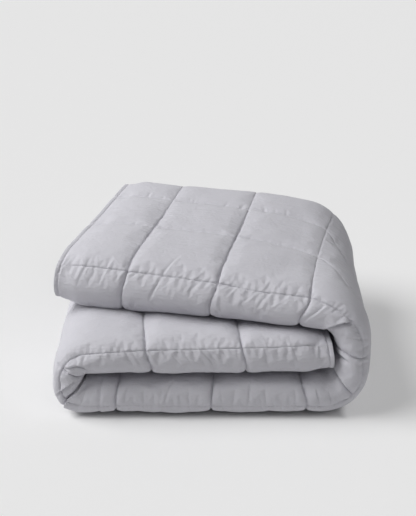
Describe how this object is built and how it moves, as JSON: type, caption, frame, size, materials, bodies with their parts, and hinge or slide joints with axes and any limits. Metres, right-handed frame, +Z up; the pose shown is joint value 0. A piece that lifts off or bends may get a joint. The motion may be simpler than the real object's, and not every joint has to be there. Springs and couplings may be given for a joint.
{
  "type": "folded quilted duvet",
  "caption": "Quilted duvet folded lengthwise and rolled over into a soft pile, with a square stitch grid, rounded front folds and a flat stitched border at its free ends.",
  "frame": {"origin": "centre of the pile's outline at floor level", "axes": "+Z up from the floor, +Y from the front folds towards the back, +X towards the wide bend that wraps the inner free end"},
  "size_m": [0.6584, 0.6616, 0.2656],
  "materials": {
    "cotton": "matte woven cotton, light lavender grey"
  },
  "bodies": {
    "root": {"duvet": "cotton"}
  },
  "joints": []
}
